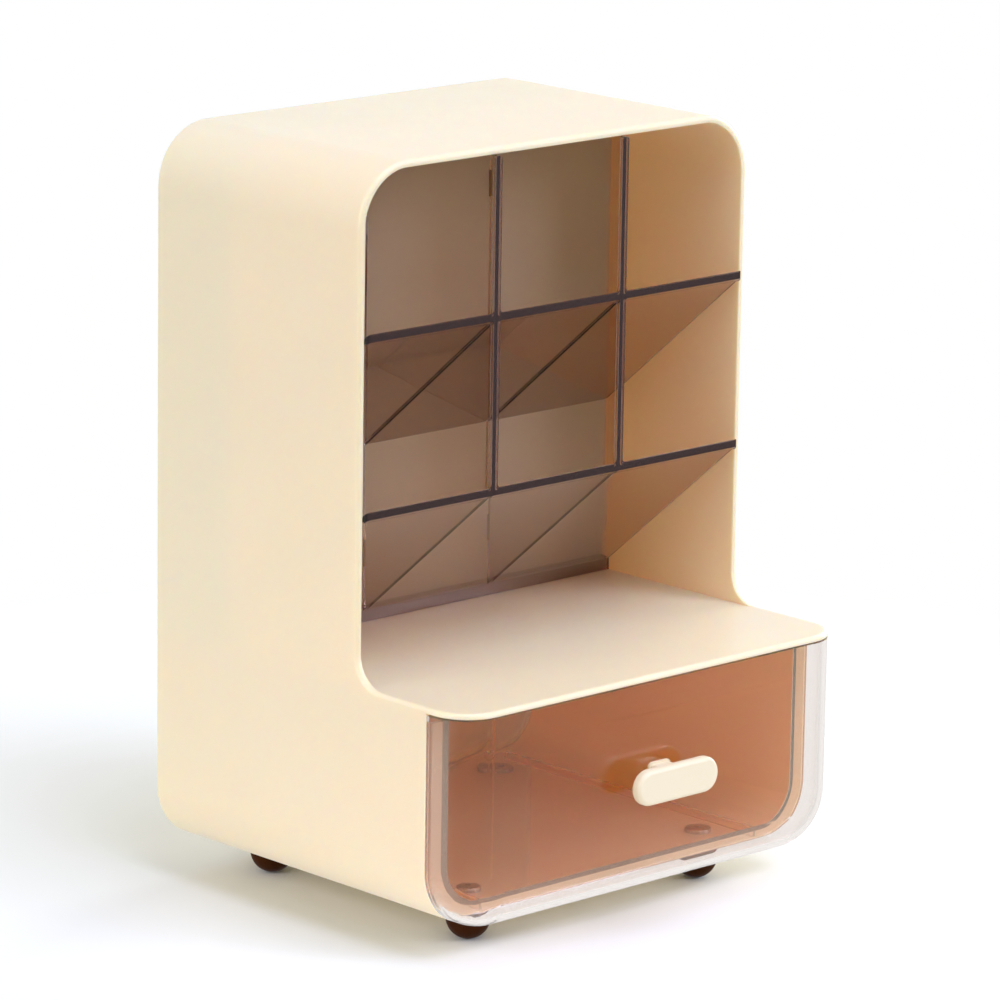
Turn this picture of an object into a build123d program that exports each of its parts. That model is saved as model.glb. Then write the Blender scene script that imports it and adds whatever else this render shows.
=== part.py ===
from build123d import *
from math import cos, radians, sin, tan
import os

# Outer shell, in millimetres; depths are measured from its back towards the front
shell_width = 174.5
shell_height = 245.0
roof_depth = 99.3
body_depth = 133.0
lip_reach = 17.7
wall = 2.4
corner_radius = 20.5
ledge_height = 75.1
ledge_thickness = 1.8
ledge_blend_radius = 10.5
rim_radius = 1.4
inner_rim_radius = 0.4
back_wall_depth = 37.5
back_wall_thickness = 2.2

# Rear cover and its snap hooks
cover_thickness = 2.0
hook_reach = 12.0
hook_width = 12.0
hook_thickness = 1.6
hook_barb = 0.9
catch_depth = 8.0
catch_thickness = 1.4
side_hook_heights = (105.0, 205.0)
roof_hook_offset = 45.0
tongue_reach = 6.0
tongue_offset = 35.0

# Pen rack
cell_count = 3
rack_reach = 1.6
row_pitch = 58.2
plate_slope = 40.0
plate_thickness = 1.5
divider_thickness = 1.8
bar_width = 2.8
bar_height = 2.7
bar_depth = 1.4
bar_fillet = 0.8
bar_end_radius = 1.2
junction_radius = 0.4
heel_height = 4.4
heel_thickness = 2.0
lug_height = 9.0
lug_nose = 3.0
lug_barb = 1.2
lug_inset = 20.0

# Drawer tray
tray_side_gap = 4.2
tray_wall = 2.0
tray_corner_radius = 16.0
tray_rear_radius = 6.0
tray_rear_depth = 4.8
flange_thickness = 1.3
runner_height = 2.6
runner_width = 1.2
runner_offset = 63.0
drawer_travel = 100.0
stop_height = 2.6
stop_width = 7.0
stop_thickness = 2.0
stop_setback = 7.5
tab_length = 8.0

# Drawer front
front_wall = 2.0
front_edge_radius = 13.8

# Handle
handle_length = 36.8
handle_height = 12.0
handle_thickness = 4.0
handle_edge_radius = 1.4
handle_level = 40.5
neck_width = 8.4
neck_height = 9.0
neck_length = 5.3
neck_corner = 1.0
base_thickness = 0.8
base_margin = 0.7

# Screws
screw_diameter = 3.0
screw_tip = 0.6
handle_screw_length = 9.0
handle_screw_head = 6.0
handle_screw_head_height = 2.0
foot_screw_length = 8.0
foot_screw_head = 9.0
foot_screw_head_height = 1.4
recess_length = 3.2
recess_width = 0.8
recess_depth = 0.8

# Feet
foot_height = 12.3
foot_diameter = 15.0
foot_flat = 3.0
foot_stem = 6.0
foot_offset = 52.6
front_foot_inset = 16.0
rear_foot_depth = 19.5

# Clearances
fit_gap = 0.2
thread_gap = 0.1
slide_gap = 0.3
lip_gap = 0.6

# Derived sizes
lip_depth = body_depth + lip_reach
handle_projection = base_thickness + neck_length + handle_thickness
overall_depth = lip_depth + handle_projection
back_y = overall_depth / 2
shell_z = foot_height
inner_width = shell_width - 2 * wall
ledge_underside = ledge_height - ledge_thickness
roof_underside = shell_height - wall
cover_inside = cover_thickness + fit_gap
rack_width = inner_width - 2 * fit_gap
rack_front = roof_depth + rack_reach
rack_back = back_wall_depth + fit_gap
plate_rise = (rack_front - rack_back) * tan(radians(plate_slope))
lower_bar_top = ledge_height + heel_height + plate_rise
upper_bar_top = lower_bar_top + row_pitch
front_back_face = body_depth + slide_gap
front_inner_face = lip_depth - front_wall
front_top = ledge_underside - lip_gap
tray_width = inner_width - 2 * tray_side_gap
tray_bottom = wall + slide_gap + runner_height
tray_top = ledge_underside - stop_height - lip_gap
tray_front = front_back_face + flange_thickness
stop_depth = body_depth - stop_setback
tab_front = stop_depth - slide_gap - drawer_travel
front_foot_depth = body_depth - front_foot_inset
foot_radius = foot_diameter / 2
foot_centre = (foot_radius**2 - (foot_flat / 2) ** 2) ** 0.5
foot_top_radius = (foot_radius**2 - (foot_height - foot_centre) ** 2) ** 0.5


def front_plane(distance):
    """Plane facing the front, a distance in front of the back, with its origin at the shell's underside."""
    return Plane(origin=(0, back_y - distance, shell_z), x_dir=(1, 0, 0), z_dir=(0, -1, 0))


def top_plane(height):
    """Level plane at a height over the shell's underside, with its origin on the back."""
    return Plane(origin=(0, back_y, shell_z + height), x_dir=(1, 0, 0), z_dir=(0, 0, 1))


def side_plane(x):
    """Upright plane across the width whose X runs to the front and whose Y runs up."""
    return Plane(origin=(x, back_y, shell_z), x_dir=(0, -1, 0), z_dir=(-1, 0, 0))


def shell_outline(bottom, top, inset=0.0, mode=Mode.ADD):
    """Adds the part of the shell's rounded outline that lies between two heights."""
    with Locations((0, shell_height / 2)):
        RectangleRounded(shell_width - 2 * inset, shell_height - 2 * inset, corner_radius - inset, mode=mode)
    if bottom > 0 or top < shell_height:
        with Locations((0, (bottom + top) / 2)):
            Rectangle(shell_width, top - bottom, mode=Mode.INTERSECT)


def on_rim(edge, half_width):
    """Tells whether an edge of the shell lies upright on its front rim, at a distance from the middle."""
    middle = edge.center()
    on_front = abs(middle.Y - (back_y - roof_depth)) < fit_gap
    on_side = abs(abs(middle.X) - half_width) < fit_gap
    return on_front and on_side


def tray_outline(inset=0.0, rise=0.0):
    """Adds the tray's U-shaped outline, drawn in by an inset and open above by a rise."""
    bottom = tray_bottom + inset
    top = tray_top + rise
    with Locations((0, (bottom + top) / 2)):
        outline = Rectangle(tray_width - 2 * inset, top - bottom)
    fillet(outline.vertices().group_by(Axis.Y)[0], tray_corner_radius - inset)


def lower_edges(part, distance, top):
    """Edges of a part on the plane at a depth, without those on its top."""
    y = back_y - distance
    on_plane = part.edges().filter_by_position(Axis.Y, y - fit_gap / 2, y + fit_gap / 2)
    return [edge for edge in on_plane if edge.center().Z < shell_z + top - fit_gap]


def plate_line(bar_top, distance, drop=0.0):
    """Height of a slanted plate at a depth, lowered by a drop."""
    return bar_top - (rack_front - distance) * tan(radians(plate_slope)) - drop


def hook_plane(x, height, outward):
    """Plane on a wall's inner face whose X runs out through the wall and whose Y runs to the front."""
    outward = Vector(*outward)
    return Plane(origin=(x, back_y, shell_z + height), x_dir=outward, z_dir=outward.cross(Vector(0, -1, 0)))


def hook_planes():
    """Planes of the rear cover's hooks: two on each side wall and two on the roof."""
    half = inner_width / 2
    sides = [hook_plane(s * half, height, (s, 0, 0)) for s in (-1, 1) for height in side_hook_heights]
    roof = [hook_plane(s * roof_hook_offset, roof_underside, (0, 0, 1)) for s in (-1, 1)]
    return sides + roof


def is_crossing(edge):
    """Tells whether an edge of the rack lies where a divider's bar meets a plate's bar."""
    middle = edge.center()
    on_bar = back_y - rack_front < middle.Y < back_y - rack_front + bar_depth
    beside_divider = any(abs(abs(middle.X - x) - bar_width / 2) < bar_width / 10 for x in divider_places)
    return on_bar and beside_divider and abs(edge.tangent_at(0).Y) > 1 / 2


def is_bar_end(edge):
    """Tells whether an edge of the rack is an upright front corner at the end of a bar."""
    middle = edge.center()
    on_front = abs(middle.Y - (back_y - rack_front)) < fit_gap
    return on_front and abs(abs(middle.X) - rack_width / 2) < fit_gap


def is_junction(edge):
    """Tells whether an edge of the rack lies where a divider's face meets a plate."""
    x = edge.center().X
    beside_divider = any(abs(abs(x - place) - divider_thickness / 2) < fit_gap for place in divider_places)
    along = edge.tangent_at(0)
    is_slanted = abs(abs(along.Z) - sin(radians(plate_slope))) < fit_gap / 2
    return beside_divider and is_slanted and abs(along.X) < fit_gap


def cross_outline():
    """Adds the outline of a screw head's cross recess."""
    Rectangle(recess_length, recess_width)
    Rectangle(recess_width, recess_length)


os.makedirs("parts", exist_ok=True)

# Places shared by several pieces
foot_places = {
    "foot_front_left": (-foot_offset, front_foot_depth),
    "foot_front_right": (foot_offset, front_foot_depth),
    "foot_rear_left": (-foot_offset, rear_foot_depth),
    "foot_rear_right": (foot_offset, rear_foot_depth),
}
divider_pitch = (rack_width + divider_thickness) / cell_count
divider_places = [divider_pitch * (i - cell_count / 2 + 1) for i in range(cell_count - 1)]
lug_heights = (ledge_height + lug_inset, roof_underside - lug_inset - lug_height)

# Outer shell
with BuildPart() as shell:
    # Rounded tube, open at the front and the back
    with BuildSketch(front_plane(0)):
        shell_outline(0, shell_height)
        shell_outline(0, shell_height, inset=wall, mode=Mode.SUBTRACT)
    extrude(amount=body_depth)
    # Step back from the ledge to the rim of the pen space, with its concave blend
    with BuildSketch(side_plane(0)) as step:
        with BuildLine():
            Polyline(
                (lip_depth, ledge_height),
                (roof_depth, ledge_height),
                (roof_depth, shell_height + wall),
                (lip_depth, shell_height + wall),
                close=True,
            )
        make_face()
        fillet(step.vertices().group_by(Axis.X)[0].sort_by(Axis.Y)[0], ledge_blend_radius)
    extrude(amount=shell_width, both=True, mode=Mode.SUBTRACT)
    inner_rim = [edge for edge in shell.edges() if on_rim(edge, inner_width / 2)]
    fillet(inner_rim, inner_rim_radius)
    # Ledge from the rear cover to its rounded lip over the drawer front
    with BuildSketch(top_plane(ledge_underside)) as ledge:
        with Locations((0, -(cover_inside + lip_depth) / 2)):
            Rectangle(shell_width - wall, lip_depth - cover_inside)
        with Locations((0, -(roof_depth + ledge_blend_radius + lip_depth) / 2)):
            Rectangle(shell_width, lip_depth - roof_depth - ledge_blend_radius)
        fillet(ledge.vertices().group_by(Axis.Y)[0], front_edge_radius)
    extrude(amount=ledge_thickness)
    outer_rim = [edge for edge in shell.edges() if on_rim(edge, shell_width / 2)]
    fillet(outer_rim, rim_radius)
    # Inner back wall behind the pens
    with BuildSketch(front_plane(back_wall_depth - back_wall_thickness)):
        shell_outline(ledge_underside, shell_height, inset=wall / 2)
    extrude(amount=back_wall_thickness)

    # Slots for the rack's lugs
    with BuildSketch(front_plane(back_wall_depth)):
        with Locations(*[(x, h + lug_height / 2) for x in divider_places for h in lug_heights]):
            Rectangle(divider_thickness + 2 * fit_gap, lug_height + 2 * fit_gap)
    extrude(amount=-back_wall_thickness, mode=Mode.SUBTRACT)
    # Catches for the rear cover's hooks
    for plane in hook_planes():
        with BuildSketch(plane):
            with Locations((-hook_barb / 2, catch_depth + catch_thickness / 2)):
                Rectangle(hook_barb, catch_thickness)
            with Locations((wall / 4, catch_depth + catch_thickness / 2)):
                Rectangle(wall / 2, catch_thickness)
        extrude(amount=hook_width / 2, both=True)
    # Stops under the ledge for the drawer's tabs
    stop_root = wall / 2
    with BuildSketch(front_plane(stop_depth)):
        for side in (-1, 1):
            middle = side * (inner_width - stop_width + stop_root) / 2
            with Locations((middle, ledge_underside - stop_height / 2)):
                Rectangle(stop_width + stop_root, stop_height)
    extrude(amount=stop_thickness)
    # Holes for the stems of the feet
    with BuildSketch(top_plane(0)):
        with Locations(*[(x, -distance) for x, distance in foot_places.values()]):
            Circle(foot_stem / 2 + fit_gap)
    extrude(amount=wall, mode=Mode.SUBTRACT)
shell.part.label = "outer_shell"
export_step(shell.part, "parts/outer_shell.step")

# Rear cover
with BuildPart() as cover:
    with BuildSketch(front_plane(0)):
        shell_outline(0, shell_height, inset=wall + fit_gap)
    extrude(amount=cover_thickness)
    # Snap hooks behind the catches of the side walls and the roof
    barb_start = catch_depth + catch_thickness + fit_gap
    arm_face = -hook_barb - fit_gap
    for plane in hook_planes():
        with BuildSketch(plane):
            with BuildLine():
                Polyline(
                    (arm_face, cover_thickness / 2),
                    (arm_face, barb_start),
                    (arm_face + hook_barb, barb_start),
                    (arm_face, hook_reach),
                    (arm_face - hook_thickness, hook_reach),
                    (arm_face - hook_thickness, cover_thickness / 2),
                    close=True,
                )
            make_face()
        extrude(amount=(hook_width - 2 * fit_gap) / 2, both=True)
    # Tongues that lie on the floor of the drawer bay
    for side in (-1, 1):
        with BuildSketch(hook_plane(side * tongue_offset, wall, (0, 0, -1))):
            with Locations((-fit_gap - hook_thickness / 2, (cover_thickness + tongue_reach) / 2)):
                Rectangle(hook_thickness, tongue_reach)
        extrude(amount=hook_width / 2, both=True)
cover.part.label = "rear_cover"
export_step(cover.part, "parts/rear_cover.step")

# Pen rack
bar_tops = (lower_bar_top, upper_bar_top)
plate_drop = plate_thickness / cos(radians(plate_slope))
bar_back = rack_front - bar_depth
divider_top = roof_underside - fit_gap
with BuildPart() as rack:
    # Slanted plates with thicker bars along their front edges
    with BuildSketch(side_plane(0)):
        for bar_top in bar_tops:
            with BuildLine():
                Polyline(
                    (rack_front, bar_top),
                    (rack_back, plate_line(bar_top, rack_back)),
                    (rack_back, plate_line(bar_top, rack_back, plate_drop)),
                    (rack_front, bar_top - plate_drop),
                    close=True,
                )
            make_face()
            with BuildLine():
                Polyline(
                    (rack_front, bar_top),
                    (rack_front, bar_top - bar_height),
                    (bar_back, plate_line(bar_top, bar_back, bar_height)),
                    (bar_back, plate_line(bar_top, bar_back)),
                    close=True,
                )
            make_face()
        # Heel that stands on the ledge, against the inner back wall
        with BuildLine():
            Polyline(
                (rack_back, ledge_height),
                (rack_back + heel_thickness, ledge_height),
                (rack_back + heel_thickness, plate_line(lower_bar_top, rack_back + heel_thickness)),
                (rack_back, plate_line(lower_bar_top, rack_back)),
                close=True,
            )
        make_face()
    extrude(amount=rack_width / 2, both=True)
    # Rounded ends of the bars
    bar_ends = [edge for edge in rack.edges().filter_by(Axis.Z) if is_bar_end(edge)]
    fillet(bar_ends, bar_end_radius)
    for x in divider_places:
        # Divider from the lower plate to the roof
        with BuildSketch(side_plane(x)):
            with BuildLine():
                Polyline(
                    (rack_front, lower_bar_top - plate_drop),
                    (rack_front, divider_top),
                    (rack_back, divider_top),
                    (rack_back, plate_line(lower_bar_top, rack_back, plate_drop)),
                    close=True,
                )
            make_face()
        extrude(amount=divider_thickness / 2, both=True)
        # Thicker bar up its front edge
        with BuildSketch(side_plane(x)):
            with BuildLine():
                Polyline(
                    (rack_front, lower_bar_top - bar_height),
                    (rack_front, divider_top),
                    (bar_back, divider_top),
                    (bar_back, plate_line(lower_bar_top, bar_back, bar_height)),
                    close=True,
                )
            make_face()
        extrude(amount=bar_width / 2, both=True)
    # Small fillets where the bars cross
    crossings = [edge for edge in rack.edges() if is_crossing(edge)]
    fillet(crossings, bar_fillet)
    # Smaller ones where the dividers meet the plates
    junctions = [edge for edge in rack.edges() if is_junction(edge)]
    fillet(junctions, junction_radius)
    for x in divider_places:
        # Lugs through the inner back wall
        behind = back_wall_depth - back_wall_thickness - fit_gap
        with BuildSketch(side_plane(x)):
            for height in lug_heights:
                with BuildLine():
                    Polyline(
                        (rack_back + heel_thickness, height),
                        (behind - lug_nose, height),
                        (behind - lug_nose, height + lug_height - lug_barb),
                        (behind, height + lug_height + lug_barb),
                        (behind, height + lug_height),
                        (rack_back + heel_thickness, height + lug_height),
                        close=True,
                    )
                make_face()
        extrude(amount=divider_thickness / 2, both=True)
rack.part.label = "pen_rack"
export_step(rack.part, "parts/pen_rack.step")

# Drawer tray
with BuildPart() as tray_core:
    with BuildSketch(front_plane(tray_rear_depth + tray_wall)):
        tray_outline(inset=tray_wall, rise=stop_height)
    extrude(amount=tray_front)
    rear = lower_edges(tray_core, tray_rear_depth + tray_wall, tray_top + stop_height)
    fillet(rear, tray_rear_radius - tray_wall)
with BuildPart() as tray:
    with BuildSketch(front_plane(tray_rear_depth)):
        tray_outline()
    extrude(amount=tray_front - tray_rear_depth)
    fillet(lower_edges(tray, tray_rear_depth, tray_top), tray_rear_radius)
    # Flange that closes the back of the drawer front round the tray
    with BuildSketch(front_plane(front_back_face)):
        shell_outline(0, tray_top, inset=front_wall + fit_gap)
    extrude(amount=flange_thickness)
    # Runners along the floor of the bay
    runner_start = tray_rear_depth + tray_rear_radius
    with BuildSketch(top_plane(wall + slide_gap)):
        for side in (-1, 1):
            with Locations((side * runner_offset, -(runner_start + body_depth) / 2)):
                Rectangle(runner_width, body_depth - runner_start)
    extrude(amount=runner_height + tray_wall)
    # Tabs on the side walls that meet the stops
    tab_foot = tray_top - tray_corner_radius
    with BuildSketch(front_plane(tab_front)):
        for side in (-1, 1):
            with Locations((side * (tray_width - tray_wall) / 2, (tab_foot + front_top) / 2)):
                Rectangle(tray_wall, front_top - tab_foot)
    extrude(amount=-tab_length)
    add(tray_core.part, mode=Mode.SUBTRACT)
tray.part.label = "drawer_box"
export_step(tray.part, "parts/drawer_box.step")

# Drawer front
with BuildPart() as front_core:
    with BuildSketch(front_plane(front_back_face)):
        shell_outline(0, ledge_height, inset=front_wall)
    extrude(amount=front_inner_face - front_back_face)
    fillet(lower_edges(front_core, front_inner_face, ledge_height), front_edge_radius - front_wall)
with BuildPart() as front:
    with BuildSketch(front_plane(front_back_face)):
        shell_outline(0, front_top)
    extrude(amount=lip_depth - front_back_face)
    fillet(lower_edges(front, lip_depth, front_top), front_edge_radius)
    add(front_core.part, mode=Mode.SUBTRACT)
    # Hole for the handle's screw
    with BuildSketch(front_plane(front_inner_face)):
        with Locations((0, handle_level)):
            Circle(screw_diameter / 2 + thread_gap)
    extrude(amount=front_wall, mode=Mode.SUBTRACT)
front.part.label = "drawer_front"
export_step(front.part, "parts/drawer_front.step")

# Handle
with BuildPart() as handle:
    with BuildSketch(front_plane(lip_depth + base_thickness + neck_length)):
        with Locations((0, handle_level)):
            SlotOverall(handle_length, handle_height)
    extrude(amount=handle_thickness)
    fillet(handle.edges().filter_by(Plane.XZ), handle_edge_radius)
    with BuildSketch(front_plane(lip_depth)):
        with Locations((0, handle_level)):
            RectangleRounded(neck_width, neck_height, neck_corner)
    extrude(amount=base_thickness + neck_length + handle_edge_radius)
    with BuildSketch(front_plane(lip_depth)):
        with Locations((0, handle_level)):
            RectangleRounded(neck_width, neck_height, neck_corner)
        offset(amount=base_margin)
    extrude(amount=base_thickness)
    # Blind hole for the screw
    with BuildSketch(front_plane(lip_depth)):
        with Locations((0, handle_level)):
            Circle(screw_diameter / 2 + thread_gap)
    extrude(amount=handle_screw_length - front_wall + screw_tip, mode=Mode.SUBTRACT)
handle.part.label = "handle"
export_step(handle.part, "parts/handle.step")

# Screw of the handle, put in from inside the drawer
with BuildPart() as handle_screw:
    with BuildSketch(front_plane(front_inner_face)):
        with Locations((0, handle_level)):
            Circle(handle_screw_head / 2)
    extrude(amount=-handle_screw_head_height)
    fillet(handle_screw.edges().sort_by(Axis.Y)[-1], handle_screw_head_height / 2)
    with BuildSketch(front_plane(front_inner_face)):
        with Locations((0, handle_level)):
            Circle(screw_diameter / 2)
    extrude(amount=handle_screw_length)
    chamfer(handle_screw.edges().sort_by(Axis.Y)[0], screw_tip)
    recess_origin = (0, back_y - front_inner_face + handle_screw_head_height, shell_z + handle_level)
    with BuildSketch(Plane(origin=recess_origin, x_dir=(1, 0, 0), z_dir=(0, -1, 0))):
        cross_outline()
    extrude(amount=recess_depth, mode=Mode.SUBTRACT)
handle_screw.part.label = "handle_screw"
export_step(handle_screw.part, "parts/handle_screw.step")

# Ball feet
for name, (x, distance) in foot_places.items():
    axis_base = (x, back_y - distance, 0)
    with BuildPart() as foot:
        with BuildSketch(Plane(origin=axis_base, x_dir=(1, 0, 0), z_dir=(0, -1, 0))):
            with BuildLine():
                Polyline((0, 0), (foot_flat / 2, 0))
                ThreePointArc((foot_flat / 2, 0), (foot_radius, foot_centre), (foot_top_radius, foot_height))
                Polyline(
                    (foot_top_radius, foot_height),
                    (foot_stem / 2, foot_height),
                    (foot_stem / 2, foot_height + wall),
                    (0, foot_height + wall),
                    (0, 0),
                )
            make_face()
        revolve(axis=Axis(axis_base, (0, 0, 1)))
        # Blind hole for the screw
        with BuildSketch(Plane(origin=(x, back_y - distance, foot_height + wall))):
            Circle(screw_diameter / 2 + thread_gap)
        extrude(amount=-foot_screw_length - screw_tip, mode=Mode.SUBTRACT)
    foot.part.label = name
    export_step(foot.part, f"parts/{name}.step")

# Screws of the feet, put in from inside the drawer bay
with BuildPart() as foot_screws:
    for x, distance in foot_places.values():
        seat = Plane(origin=(x, back_y - distance, shell_z + wall))
        with BuildSketch(seat):
            Circle(foot_screw_head / 2)
        extrude(amount=foot_screw_head_height)
        with BuildSketch(seat):
            Circle(screw_diameter / 2)
        extrude(amount=-foot_screw_length)
    fillet(foot_screws.edges().group_by(Axis.Z)[-1], foot_screw_head_height / 3)
    for x, distance in foot_places.values():
        with BuildSketch(Plane(origin=(x, back_y - distance, shell_z + wall + foot_screw_head_height))):
            cross_outline()
        extrude(amount=-recess_depth, mode=Mode.SUBTRACT)
foot_screws.part.label = "foot_screws"
export_step(foot_screws.part, "parts/foot_screws.step")
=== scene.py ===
"""Looks of the craft supply organizer.

A cream shell holds smoky clear pen cells and a clear drawer, and stands on dark ball feet.
"""
import logging
import math
from dataclasses import dataclass, field
from enum import Enum
from typing import Dict, List, Optional, Sequence, Tuple

import bmesh
import bpy
from mathutils import Matrix, Vector

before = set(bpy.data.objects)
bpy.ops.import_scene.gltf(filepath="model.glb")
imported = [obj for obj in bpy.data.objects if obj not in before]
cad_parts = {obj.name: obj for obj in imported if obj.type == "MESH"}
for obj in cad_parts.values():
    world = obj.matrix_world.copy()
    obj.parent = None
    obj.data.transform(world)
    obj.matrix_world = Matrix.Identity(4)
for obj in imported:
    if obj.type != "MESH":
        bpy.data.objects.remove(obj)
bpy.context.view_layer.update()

log = logging.getLogger("organizer")

Colour = Tuple[float, float, float]
Point = Tuple[float, float, float]

IMAGE_SIDE = 1000.0
SENSOR_WIDTH = 36.0
PLASTIC_IOR = 1.49
LAMP_AIM: Point = (0.0, 0.0, 0.12)

# Sockets of the Mix node, which are told apart by number
MIX_FACTOR = 0
MIX_NUMBERS = (2, 3)
MIX_NUMBER = 0
MIX_COLOURS = (6, 7)
MIX_COLOUR = 2


class Ray(Enum):
    """Kinds of ray that Light Path tells apart, by the name of its output."""

    CAMERA = "Is Camera Ray"
    SHADOW = "Is Shadow Ray"
    DIFFUSE = "Is Diffuse Ray"
    GLOSSY = "Is Glossy Ray"
    TRANSMISSION = "Is Transmission Ray"


def rgba(colour: Colour) -> Tuple[float, float, float, float]:
    """Gives a colour its full alpha.

    Args:
        colour: Linear red, green and blue.

    Returns:
        The colour with an alpha of 1.
    """
    return (*colour, 1.0)


class NodeBoard:
    """A material's or world's node tree with short ways to add and join nodes."""

    def __init__(self, tree: bpy.types.NodeTree) -> None:
        """Clears the tree.

        Args:
            tree: The node tree that this board fills.
        """
        self.tree = tree
        tree.nodes.clear()

    def add(
        self, kind: str, settings: Optional[Dict[str, object]] = None, **inputs: object
    ) -> bpy.types.Node:
        """Adds a node.

        Args:
            kind: The node's bl_idname.
            settings: Attributes of the node itself.
            **inputs: Socket values, or sockets to join, with underscores for spaces.

        Returns:
            The new node.
        """
        node = self.tree.nodes.new(kind)
        for key, value in (settings or {}).items():
            setattr(node, key, value)
        for key, value in inputs.items():
            self.feed(node, key.replace("_", " "), value)
        return node

    def feed(self, node: bpy.types.Node, socket: object, value: object) -> None:
        """Sets one input of a node, or joins another node's output to it.

        Args:
            node: The node that is fed.
            socket: The input's name or number.
            value: A plain value, or an output socket.
        """
        if isinstance(value, bpy.types.NodeSocket):
            self.tree.links.new(value, node.inputs[socket])
        else:
            node.inputs[socket].default_value = value

    def place(self) -> bpy.types.NodeSocket:
        """Object coordinates, as an output socket."""
        return self.add("ShaderNodeTexCoord").outputs["Object"]

    def noise(
        self, scale: float, detail: float = 2.0, roughness: float = 0.5, stretch: Point = (1, 1, 1)
    ) -> bpy.types.NodeSocket:
        """Adds a noise on the piece's own coordinates.

        Args:
            scale: Spots per metre.
            detail: Octaves of the noise.
            roughness: Share that each finer octave keeps.
            stretch: Scale of the coordinates along X, Y and Z.

        Returns:
            The noise's value, near a half.
        """
        mapping = self.add("ShaderNodeMapping", Vector=self.place(), Scale=stretch)
        node = self.add(
            "ShaderNodeTexNoise",
            Vector=mapping.outputs[0],
            Scale=scale,
            Detail=detail,
            Roughness=roughness,
        )
        return node.outputs["Fac"]

    def spread(
        self, value: object, low: float, high: float, start: float = 0.3, end: float = 0.7
    ) -> bpy.types.NodeSocket:
        """Maps a value from one range to another.

        Args:
            value: The socket that is mapped.
            low: Result at the start.
            high: Result at the end.
            start: Value that gives low.
            end: Value that gives high.

        Returns:
            The mapped value.
        """
        node = self.add("ShaderNodeMapRange", Value=value)
        limits = {"From Min": start, "From Max": end, "To Min": low, "To Max": high}
        for name, number in limits.items():
            node.inputs[name].default_value = number
        return node.outputs["Result"]

    def blend(self, factor: object, first: Colour, second: Colour) -> bpy.types.NodeSocket:
        """Mixes two colours.

        Args:
            factor: Share of the second colour.
            first: Colour where the factor is 0.
            second: Colour where the factor is 1.

        Returns:
            The mixed colour.
        """
        node = self.add("ShaderNodeMix", {"data_type": "RGBA"})
        self.feed(node, MIX_FACTOR, factor)
        for socket, colour in zip(MIX_COLOURS, (first, second)):
            self.feed(node, socket, rgba(colour))
        return node.outputs[MIX_COLOUR]

    def choose(self, factor: object, first: object, second: object) -> bpy.types.NodeSocket:
        """Mixes two numbers.

        Args:
            factor: Share of the second number.
            first: Number or socket where the factor is 0.
            second: Number or socket where the factor is 1.

        Returns:
            The mixed number.
        """
        node = self.add("ShaderNodeMix", {"data_type": "FLOAT"})
        self.feed(node, MIX_FACTOR, factor)
        for socket, number in zip(MIX_NUMBERS, (first, second)):
            self.feed(node, socket, number)
        return node.outputs[MIX_NUMBER]

    def layer(self, share: object, below: bpy.types.Node, above: bpy.types.Node) -> bpy.types.Node:
        """Mixes two shaders.

        Args:
            share: Share of the shader above.
            below: Shader that shows where the share is 0.
            above: Shader that shows where the share is 1.

        Returns:
            The node that mixes them.
        """
        node = self.add("ShaderNodeMixShader", Fac=share)
        self.feed(node, 1, below.outputs[0])
        self.feed(node, 2, above.outputs[0])
        return node

    def bump(
        self, height: object, depth: float, normal: Optional[bpy.types.NodeSocket] = None
    ) -> bpy.types.NodeSocket:
        """Adds a bump.

        Args:
            height: Socket of the height, from 0 to 1.
            depth: Height of 1 in metres.
            normal: Socket of a normal that this bump is added to.

        Returns:
            The bumped normal.
        """
        node = self.add("ShaderNodeBump", Height=height, Distance=depth, Strength=1.0)
        if normal is not None:
            self.feed(node, "Normal", normal)
        return node.outputs["Normal"]

    def math(self, operation: str, first: object, second: object) -> bpy.types.NodeSocket:
        """Joins two numbers by a sum, product or the like.

        Args:
            operation: The Math node's operation.
            first: A number or socket.
            second: A number or socket.

        Returns:
            The result.
        """
        node = self.add("ShaderNodeMath", {"operation": operation})
        self.feed(node, 0, first)
        self.feed(node, 1, second)
        return node.outputs[0]

    def any_ray(self, rays: Sequence[Ray]) -> bpy.types.NodeSocket:
        """Tells whether a ray is one of several kinds.

        Args:
            rays: The kinds of ray.

        Returns:
            A socket that is 1 for those rays and 0 for others.
        """
        path = self.add("ShaderNodeLightPath")
        total = path.outputs[rays[0].value]
        for ray in rays[1:]:
            total = self.math("MAXIMUM", total, path.outputs[ray.value])
        return total


@dataclass(frozen=True)
class Finish:
    """A finish: the name of its material and how it is made."""

    name: str

    def paint(self, board: NodeBoard) -> Tuple[bpy.types.NodeSocket, object]:
        """Adds this finish's shader.

        Args:
            board: The material's nodes.

        Returns:
            The surface's shader and the volume's, or None in its place.
        """
        raise NotImplementedError

    def material(self) -> bpy.types.Material:
        """Makes the material, once.

        Returns:
            The material of this finish.
        """
        made = bpy.data.materials.get(self.name)
        if made is not None:
            return made
        made = bpy.data.materials.new(self.name)
        made.use_nodes = True
        board = NodeBoard(made.node_tree)
        surface, inside = self.paint(board)
        output = board.add("ShaderNodeOutputMaterial", Surface=surface)
        if inside is not None:
            board.feed(output, "Volume", inside)
        return made


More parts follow.
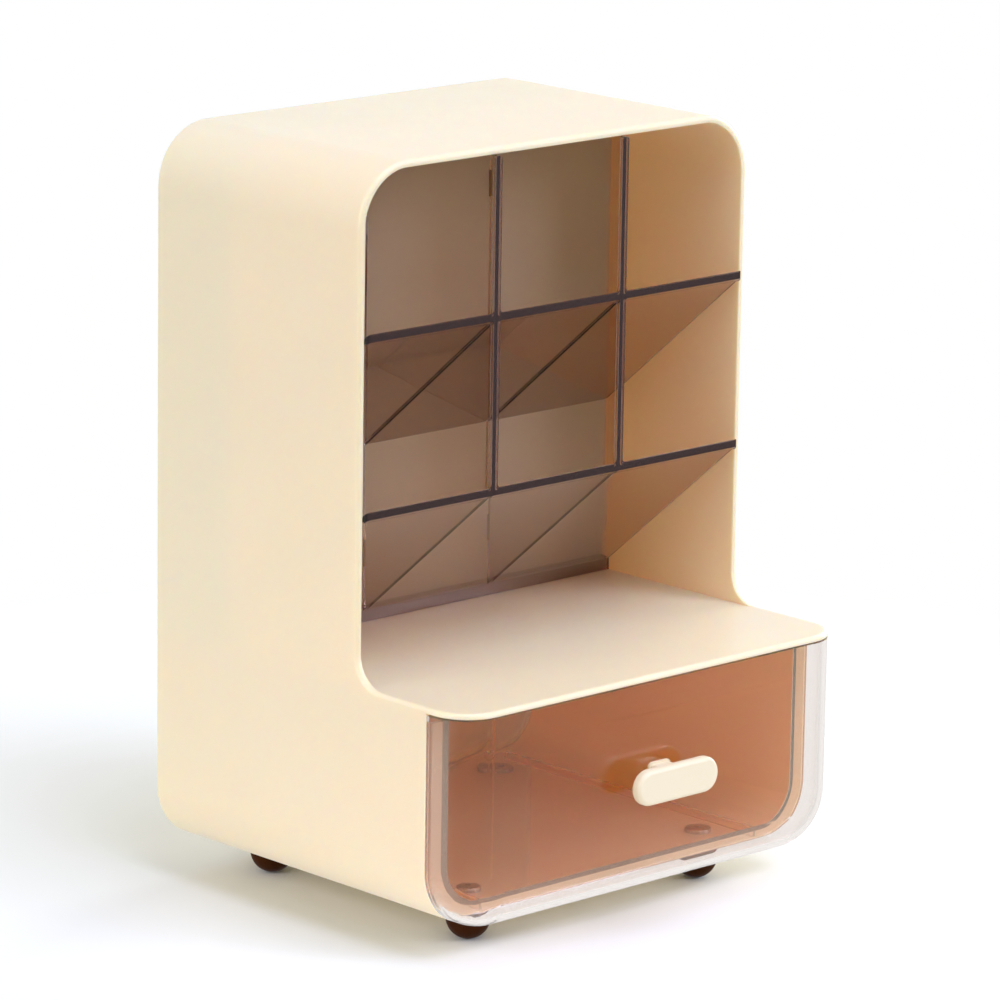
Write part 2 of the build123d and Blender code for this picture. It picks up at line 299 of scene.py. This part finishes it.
@dataclass(frozen=True)
class SatinPlastic(Finish):
    """Opaque moulded plastic with a fine grain and faint clouds in its colour and shine."""

    colour: Colour = (0.8, 0.7, 0.5)
    cloud: Colour = (0.78, 0.68, 0.48)
    cloud_scale: float = 16.0
    shine: Tuple[float, float] = (0.4, 0.5)
    shine_scale: float = 90.0
    grain_scale: float = 2600.0
    grain_depth: float = 0.000012
    wave_scale: float = 26.0
    wave_depth: float = 0.00012
    specular: float = 0.5
    glow: float = 0.0
    glow_reach: Point = (1.0, 0.7, 0.35)
    glow_scale: float = 0.004

    def paint(self, board: NodeBoard) -> Tuple[bpy.types.NodeSocket, object]:
        """Adds the plastic's shader.

        Args:
            board: The material's nodes.

        Returns:
            The surface's shader, and None.
        """
        clouds = board.noise(self.cloud_scale, detail=3.0)
        grain = board.noise(self.grain_scale, roughness=0.6)
        waves = board.noise(self.wave_scale, detail=1.0)
        normal = board.bump(waves, self.wave_depth, board.bump(grain, self.grain_depth))
        shader = board.add(
            "ShaderNodeBsdfPrincipled",
            Base_Color=board.blend(board.spread(clouds, 0.0, 1.0), self.colour, self.cloud),
            Roughness=board.spread(board.noise(self.shine_scale, detail=4.0), *self.shine),
            Normal=normal,
        )
        shader.inputs["Specular IOR Level"].default_value = self.specular
        shader.inputs["Subsurface Weight"].default_value = self.glow
        shader.inputs["Subsurface Radius"].default_value = self.glow_reach
        shader.inputs["Subsurface Scale"].default_value = self.glow_scale
        return shader.outputs[0], None


@dataclass(frozen=True)
class ClearPlastic(Finish):
    """Polished clear plastic.

    Each wall takes its own tint from light, and a long way through the plastic takes more.
    """

    tint: Colour = (0.9, 0.88, 0.86)
    density: float = 100.0
    wave_scale: float = 34.0
    wave_depth: float = 0.00004
    wall: Colour = (1.0, 1.0, 1.0)
    # The edge colour and its share paint a matt colour over the front-facing faces in place of
    # their light and shade: painted shade where the colour is dark, painted light where it is pale.
    painted_edge_colour: Colour = (1.0, 1.0, 1.0)
    painted_edge_share: float = 0.0
    edge_facing: Tuple[float, float] = (-0.95, -0.6)
    edge_shine: Tuple[float, float] = (0.35, 0.5)
    edge_shine_scale: float = 900.0
    edge_specular: float = 0.2
    speckle: Tuple[float, float] = (0.96, 1.04)
    speckle_scale: float = 300.0

    def paint(self, board: NodeBoard) -> Tuple[bpy.types.NodeSocket, object]:
        """Adds the clear shader, which lets lamps through.

        Args:
            board: The material's nodes.

        Returns:
            The surface's shader and the volume's.
        """
        waves = board.noise(self.wave_scale, detail=1.0)
        glass = board.add(
            "ShaderNodeBsdfPrincipled",
            Base_Color=rgba(self.wall),
            Roughness=0.0,
            IOR=PLASTIC_IOR,
            Transmission_Weight=1.0,
            Normal=board.bump(waves, self.wave_depth),
        )
        face = tuple(math.sqrt(part) for part in self.wall)
        through = board.add("ShaderNodeBsdfTransparent", Color=rgba(face))
        surface = board.layer(board.any_ray((Ray.SHADOW, Ray.DIFFUSE)), glass, through)
        # The front-facing edges get their light and shade painted into a matt colour.
        if self.painted_edge_share:
            surface = self.paint_edge_light_and_shade(board, surface)
        inside = board.add(
            "ShaderNodeVolumeAbsorption", Color=rgba(self.tint), Density=self.density
        )
        return surface.outputs[0], inside.outputs[0]

    def paint_edge_light_and_shade(self, board: NodeBoard, surface: bpy.types.Node) -> bpy.types.Node:
        """Paints a matt colour over the faces that look to the front, which are the walls' edges,
        in place of their light and shade: painted shade where the colour is dark, painted light
        where it is pale.

        Args:
            board: The material's nodes.
            surface: The polished plastic's shader.

        Returns:
            The shader of both.
        """
        normal = board.add("ShaderNodeNewGeometry").outputs["Normal"]
        axes = board.add("ShaderNodeSeparateXYZ", Vector=normal)
        share = board.spread(axes.outputs["Y"], self.painted_edge_share, 0.0, *self.edge_facing)
        speckle = board.spread(board.noise(self.speckle_scale), *self.speckle)
        # A matt shader whose colour is the edges' painted light and shade.
        painted_edge_face = board.add(
            "ShaderNodeBsdfPrincipled",
            Base_Color=rgba(self.painted_edge_colour),
            Roughness=board.spread(board.noise(self.edge_shine_scale), *self.edge_shine),
        )
        painted_edge_face.inputs["Specular IOR Level"].default_value = self.edge_specular
        return board.layer(board.math("MULTIPLY", share, speckle), surface, painted_edge_face)


@dataclass(frozen=True)
class PlatedSteel(Finish):
    """Plated screw steel with fine scratches and duller spots."""

    colour: Colour = (0.62, 0.61, 0.59)
    dull: Colour = (0.5, 0.49, 0.47)
    dull_scale: float = 300.0
    shine: Tuple[float, float] = (0.22, 0.38)
    scratch_scale: float = 2400.0
    scratch_stretch: Point = (1, 1, 0.2)
    scratch_depth: float = 0.00001

    def paint(self, board: NodeBoard) -> Tuple[bpy.types.NodeSocket, object]:
        """Adds the steel's shader.

        Args:
            board: The material's nodes.

        Returns:
            The surface's shader, and None.
        """
        scratches = board.noise(
            self.scratch_scale, detail=3.0, roughness=0.7, stretch=self.scratch_stretch
        )
        spots = board.spread(board.noise(self.dull_scale), 0.0, 1.0)
        shader = board.add(
            "ShaderNodeBsdfPrincipled",
            Base_Color=board.blend(spots, self.colour, self.dull),
            Metallic=1.0,
            Roughness=board.spread(scratches, *self.shine),
            Normal=board.bump(scratches, self.scratch_depth),
        )
        return shader.outputs[0], None


CREAM_PLASTIC = SatinPlastic(
    "cream_shell_plastic",
    colour=(0.855, 0.725, 0.49),
    cloud=(0.85, 0.715, 0.475),
    shine=(0.32, 0.38),
    specular=0.6,
    glow=0.85,
)
HANDLE_PLASTIC = SatinPlastic(
    "cream_handle_plastic",
    colour=(0.872, 0.755, 0.512),
    cloud=(0.862, 0.745, 0.495),
    shine=(0.3, 0.36),
    grain_depth=0.000004,
    wave_depth=0.00003,
)
SMOKED_PLASTIC = ClearPlastic(
    "smoky_rack_plastic",
    tint=(0.62, 0.47, 0.4),
    density=400.0,
    wall=(0.94, 0.9, 0.88),
    # The bars' front faces get painted shade in this dark brown.
    painted_edge_colour=(0.15, 0.075, 0.065),
    painted_edge_share=0.22,
)
CLEAR_PLASTIC = ClearPlastic(
    "clear_front_plastic",
    tint=(0.76, 0.63, 0.53),
    density=72.0,
    wave_depth=0.00001,
)
TRAY_PLASTIC = ClearPlastic(
    "smoky_tray_plastic",
    tint=(0.84, 0.52, 0.36),
    density=16.0,
    wall=(1.0, 0.85, 0.785),
    # The flange's front-facing edges get painted light in this pale tan.
    painted_edge_colour=(0.83, 0.66, 0.42),
    painted_edge_share=0.28,
)
FOOT_PLASTIC = SatinPlastic(
    "dark_foot_plastic",
    colour=(0.042, 0.0125, 0.0035),
    cloud=(0.055, 0.018, 0.006),
    shine=(0.35, 0.45),
    grain_depth=0.000006,
    specular=0.01,
)
SCREW_STEEL = PlatedSteel("plated_screw_steel")


def dress(node: str, finish: Finish) -> None:
    """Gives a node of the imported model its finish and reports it.

    Args:
        node: The node's name.
        finish: The finish that its object shows.
    """
    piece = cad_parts[node]
    for place in piece.material_slots:
        place.link = "OBJECT"
        place.material = finish.material()
    log.info("dressed %s as %s", node, finish.name)


@dataclass
class Shell:
    """The cream shell with its rear cover."""

    nodes: Tuple[str, ...] = ("outer_shell", "rear_cover")
    finish: Finish = CREAM_PLASTIC

    def build(self) -> None:
        """Dresses the shell and its cover."""
        for node in self.nodes:
            dress(node, self.finish)


@dataclass
class PenRack:
    """The smoky clear rack of slanted cells."""

    node: str = "pen_rack"
    finish: Finish = SMOKED_PLASTIC

    def build(self) -> None:
        """Dresses the rack."""
        dress(self.node, self.finish)


@dataclass
class Drawer:
    """The sliding drawer: its tray, clear front, handle and the handle's screw."""

    tray: Finish = TRAY_PLASTIC
    front: Finish = CLEAR_PLASTIC
    handle: Finish = HANDLE_PLASTIC
    screw: Finish = SCREW_STEEL

    def build(self) -> None:
        """Dresses the drawer's four pieces."""
        dress("drawer_box", self.tray)
        dress("drawer_front", self.front)
        dress("handle", self.handle)
        dress("handle_screw", self.screw)


@dataclass
class Feet:
    """The four ball feet and their screws."""

    places: Tuple[str, ...] = ("front_left", "front_right", "rear_left", "rear_right")
    finish: Finish = FOOT_PLASTIC
    screws: Finish = SCREW_STEEL

    def build(self) -> None:
        """Dresses the feet and the screws."""
        for place in self.places:
            dress(f"foot_{place}", self.finish)
        dress("foot_screws", self.screws)


@dataclass
class Lamp:
    """A soft rectangular lamp that looks at one point."""

    name: str
    place: Point
    size: Tuple[float, float]
    power: float
    colour: Colour = (1.0, 1.0, 1.0)
    aim: Point = LAMP_AIM

    def build(self) -> None:
        """Adds the lamp to the scene."""
        light = bpy.data.lights.new(self.name, "AREA")
        light.shape = "RECTANGLE"
        light.size, light.size_y = self.size
        light.energy = self.power
        light.color = self.colour
        lamp = bpy.data.objects.new(self.name, light)
        bpy.context.scene.collection.objects.link(lamp)
        way = Vector(self.aim) - Vector(self.place)
        turn = way.to_track_quat("-Z", "Y").to_matrix().to_4x4()
        lamp.matrix_world = Matrix.Translation(self.place) @ turn


@dataclass
class Studio:
    """Camera, pale floor, even surroundings and soft lamps.

    The surroundings have a strength in front and one behind, each for the light that they give
    (surround), in mirror images (mirrored), through clear plastic (through) and to the eye (seen).
    """

    focal_pixels: float = 5834.936618
    yaw: float = 0.757505
    pitch: float = 0.233797
    roll: float = 0.01591
    distance: float = 1.956032219
    aim: Point = (0.0, 0.0204, 0.1323)
    aside: float = 0.009213821
    above: float = -0.003279651
    clip: Tuple[float, float] = (0.05, 20.0)
    floor_reach: float = 0.42
    floor_fade: float = 0.45
    floor_size: float = 3.0
    paper: Colour = (0.88, 0.893, 0.815)
    surround: Tuple[float, float] = (0.46, 0.28)
    mirrored: Tuple[float, float] = (0.42, 0.9)
    through: Tuple[float, float] = (0.65, 1.0)
    seen: Tuple[float, float] = (1.0, 1.0)
    horizon: Tuple[float, float] = (-0.35, 0.1)
    bounces: int = 40
    clear_bounces: int = 32
    diffuse_bounces: int = 8
    glossy_bounces: int = 32
    transmission_bounces: int = 24
    lamps: List[Lamp] = field(default_factory=lambda: [
        Lamp("left_lamp", (-1.9, 0.3, 0.7), (1.4, 1.2), 22.5, (1.0, 1.0, 1.18)),
        Lamp("right_lamp", (1.9, 0.3, 0.7), (1.2, 1.2), 26.0),
        Lamp("back_lamp", (0.3, 2.1, 0.8), (1.2, 1.2), 7.0),
        Lamp("front_lamp", (1.2, -1.9, 1.0), (1.0, 1.0), 19.5, (0.94, 1.02, 1.42)),
        Lamp("top_lamp", (0.0, -0.9, 1.9), (1.4, 1.4), 22.3, (0.94, 1.0, 1.42), aim=(0, 0, 0.1)),
    ])

    def camera(self) -> None:
        """Adds the camera at the photograph's place."""
        ahead = Vector((
            math.sin(self.yaw) * math.cos(self.pitch),
            math.cos(self.yaw) * math.cos(self.pitch),
            -math.sin(self.pitch),
        ))
        level = Vector((math.cos(self.yaw), -math.sin(self.yaw), 0.0))
        upright = level.cross(ahead)
        right = math.cos(self.roll) * level + math.sin(self.roll) * upright
        up = -math.sin(self.roll) * level + math.cos(self.roll) * upright
        place = Vector(self.aim) + self.aside * level + self.above * upright - self.distance * ahead
        data = bpy.data.cameras.new("camera")
        data.sensor_width = SENSOR_WIDTH
        data.sensor_fit = "HORIZONTAL"
        data.lens = self.focal_pixels * SENSOR_WIDTH / IMAGE_SIDE
        data.clip_start, data.clip_end = self.clip
        camera = bpy.data.objects.new("camera", data)
        bpy.context.scene.collection.objects.link(camera)
        turn = Matrix((right, up, -ahead)).transposed().to_4x4()
        camera.matrix_world = Matrix.Translation(place) @ turn
        bpy.context.scene.camera = camera

    def floor(self) -> None:
        """Adds a pale floor.

        It fades into the surroundings away from the object, and no mirror image shows it.
        """
        mesh = bpy.data.meshes.new("floor")
        grid = bmesh.new()
        bmesh.ops.create_grid(grid, x_segments=1, y_segments=1, size=self.floor_size)
        grid.to_mesh(mesh)
        grid.free()
        floor = bpy.data.objects.new("floor", mesh)
        bpy.context.scene.collection.objects.link(floor)
        material = bpy.data.materials.new("floor_paper")
        material.use_nodes = True
        board = NodeBoard(material.node_tree)
        scale = (1 / self.floor_reach,) * 3
        mapping = board.add("ShaderNodeMapping", Vector=board.place(), Scale=scale)
        ball = board.add(
            "ShaderNodeTexGradient", {"gradient_type": "SPHERICAL"}, Vector=mapping.outputs[0]
        )
        near = board.spread(ball.outputs["Fac"], 0.0, 1.0, 0.0, self.floor_fade)
        mirrored = board.spread(board.any_ray((Ray.GLOSSY,)), 1.0, 0.0, 0.0, 1.0)
        share = board.math("MULTIPLY", near, mirrored)
        paper = board.add("ShaderNodeBsdfDiffuse", Color=rgba(self.paper))
        clear = board.add("ShaderNodeBsdfTransparent")
        surface = board.layer(share, clear, paper)
        board.add("ShaderNodeOutputMaterial", Surface=surface.outputs[0])
        mesh.materials.append(material)

    def surroundings(self) -> None:
        """Sets surroundings that are white to the eye.

        They are dimmer in front where they light, shine or are seen through clear plastic.
        """
        world = bpy.data.worlds.new("surroundings")
        bpy.context.scene.world = world
        world.use_nodes = True
        board = NodeBoard(world.node_tree)
        way = board.add("ShaderNodeTexCoord").outputs["Generated"]
        axes = board.add("ShaderNodeSeparateXYZ", Vector=way)
        strength = board.spread(axes.outputs["Y"], *self.surround, *self.horizon)
        kinds = {Ray.GLOSSY: self.mirrored, Ray.TRANSMISSION: self.through, Ray.CAMERA: self.seen}
        for ray, strengths in kinds.items():
            other = board.spread(axes.outputs["Y"], *strengths, *self.horizon)
            strength = board.choose(board.any_ray((ray,)), strength, other)
        light = board.add("ShaderNodeBackground", Color=rgba((1, 1, 1)), Strength=strength)
        board.add("ShaderNodeOutputWorld", Surface=light.outputs[0])

    def build(self) -> None:
        """Sets up camera, floor, surroundings and lamps."""
        self.camera()
        self.floor()
        self.surroundings()
        for lamp in self.lamps:
            lamp.build()
        scene = bpy.context.scene
        scene.view_settings.view_transform = "Standard"
        scene.cycles.transparent_max_bounces = self.clear_bounces
        scene.cycles.max_bounces = self.bounces
        scene.cycles.diffuse_bounces = self.diffuse_bounces
        scene.cycles.glossy_bounces = self.glossy_bounces
        scene.cycles.transmission_bounces = self.transmission_bounces
        log.info("studio set up with %d lamps", len(self.lamps))


def main() -> None:
    """Builds each sub-assembly in order."""
    logging.basicConfig(level=logging.INFO, format="%(message)s")
    for part in (Studio(), Shell(), PenRack(), Drawer(), Feet()):
        part.build()
        log.info("built %s", type(part).__name__)


if __name__ == "__main__":
    main()
